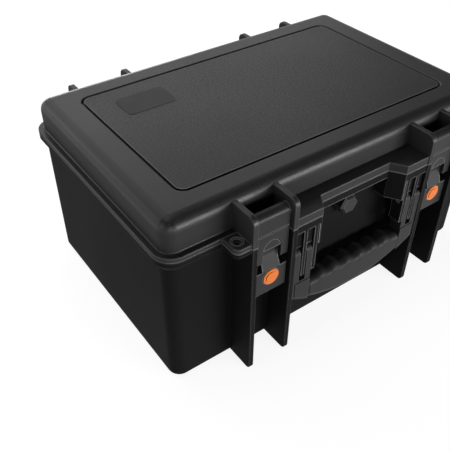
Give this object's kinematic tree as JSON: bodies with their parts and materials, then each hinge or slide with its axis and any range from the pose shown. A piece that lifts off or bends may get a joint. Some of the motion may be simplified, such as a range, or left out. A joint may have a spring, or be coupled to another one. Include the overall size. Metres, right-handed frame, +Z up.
{
  "type": "hard case",
  "caption": "Black hard carrying case with a hinged lid, swing latches with push buttons, a folding carry handle, padlock lugs and a pressure valve.",
  "frame": {"origin": "middle of the base's underside, where the case stands", "axes": "+Z up, -Y out of the front with the latches and the handle, +X along the front to the right as seen from the front"},
  "size_m": [0.414, 0.3155, 0.197],
  "materials": {
    "shell": "fine moulded grain",
    "panel": "coarser moulded grain",
    "handle": "smooth satin",
    "latch": "smooth satin",
    "valve": "smooth satin",
    "button": "semi-gloss",
    "seal": "matt",
    "steel": "satin"
  },
  "bodies": {
    "base": {"base_shell": "shell", "valve_nut": "valve", "valve_seal": "seal", "hinge_pin_left": "steel", "hinge_pin_right": "steel", "handle_pin_left": "steel", "handle_pin_right": "steel", "base_lug_left": "shell", "base_lug_right": "shell"},
    "lid": {"lid_shell": "shell", "lid_panel": "panel", "lid_seal": "seal", "latch_pin_left": "steel", "latch_pin_right": "steel", "lid_lug_left": "shell", "lid_lug_right": "shell"},
    "handle": {"carry_handle": "handle"},
    "valve": {"valve_knob": "valve"},
    "latch_left": {"latch_lever_left": "latch", "latch_block_left": "latch", "latch_catch_left": "steel", "latch_rivets_left": "steel"},
    "button_left": {"latch_button_left": "button"},
    "latch_right": {"latch_lever_right": "latch", "latch_block_right": "latch", "latch_catch_right": "steel", "latch_rivets_right": "steel"},
    "button_right": {"latch_button_right": "button"}
  },
  "joints": [
    {"name": "lid_hinge", "type": "hinge", "parent": "base", "child": "lid", "pos_m": [0, 0.1468, 0.1594], "axis": [-1, 0, 0], "range_deg": [0, 105]},
    {"name": "handle_fold", "type": "hinge", "parent": "base", "child": "handle", "pos_m": [0, -0.1499, 0.1221], "axis": [-1, 0, 0], "range_deg": [0, 90]},
    {"name": "valve_turn", "type": "hinge", "parent": "base", "child": "valve", "pos_m": [0, -0.1295, 0.1354], "axis": [0, -1, 0], "range_deg": [0, 360]},
    {"name": "latch_swing_left", "type": "hinge", "parent": "lid", "child": "latch_left", "pos_m": [-0.1084, -0.1465, 0.179], "axis": [-1, 0, 0], "range_deg": [0, 110]},
    {"name": "button_press_left", "type": "slide", "parent": "latch_left", "child": "button_left", "axis": [0, 1, 0], "range_m": [0, 0.0025], "stiffness_N_per_m": 800, "springref_m": -0.001, "deforming": ["latch_catch_left"]},
    {"name": "latch_swing_right", "type": "hinge", "parent": "lid", "child": "latch_right", "pos_m": [0.1084, -0.1465, 0.179], "axis": [-1, 0, 0], "range_deg": [0, 110]},
    {"name": "button_press_right", "type": "slide", "parent": "latch_right", "child": "button_right", "axis": [0, 1, 0], "range_m": [0, 0.0025], "stiffness_N_per_m": 800, "springref_m": -0.001, "deforming": ["latch_catch_right"]}
  ]
}
